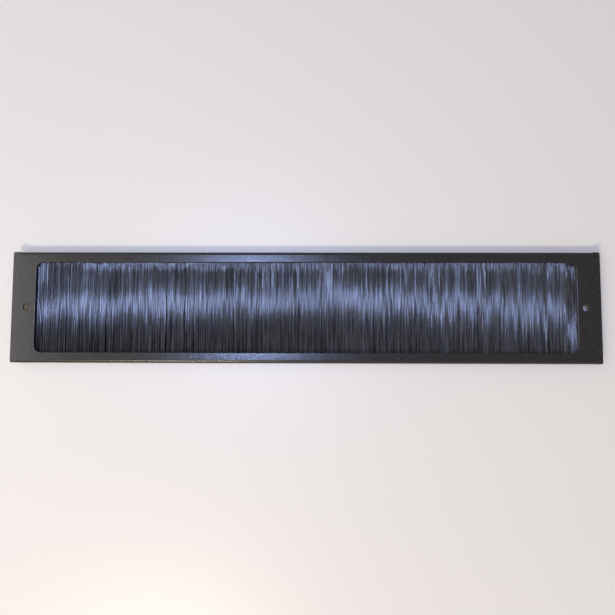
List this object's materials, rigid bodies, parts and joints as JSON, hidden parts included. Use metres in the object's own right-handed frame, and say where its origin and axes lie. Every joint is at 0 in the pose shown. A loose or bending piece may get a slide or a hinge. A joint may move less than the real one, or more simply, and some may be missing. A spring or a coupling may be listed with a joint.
{
  "type": "cable entry brush plate",
  "caption": "Folded steel plate with a long rounded window closed by a strip brush, so that cables pass into a cabinet while dust stays out.",
  "frame": {"origin": "on the surface that the plate lies on, at the underside of its folded lips, under the middle of the window", "axes": "+X along the plate, +Y across it towards the side that holds the brush, +Z out of the front face"},
  "size_m": [0.4, 0.0756, 0.0074],
  "materials": {
    "powder_coated_steel": "black powder coat with a fine texture",
    "galvanised_steel": "galvanised, dull",
    "steel_wire": "drawn wire",
    "black_nylon": "drawn filament, semi-gloss"
  },
  "bodies": {
    "root": {"face_plate": "powder_coated_steel", "brush_channel": "galvanised_steel", "core_wire": "steel_wire", "bristles": "black_nylon"}
  },
  "joints": []
}
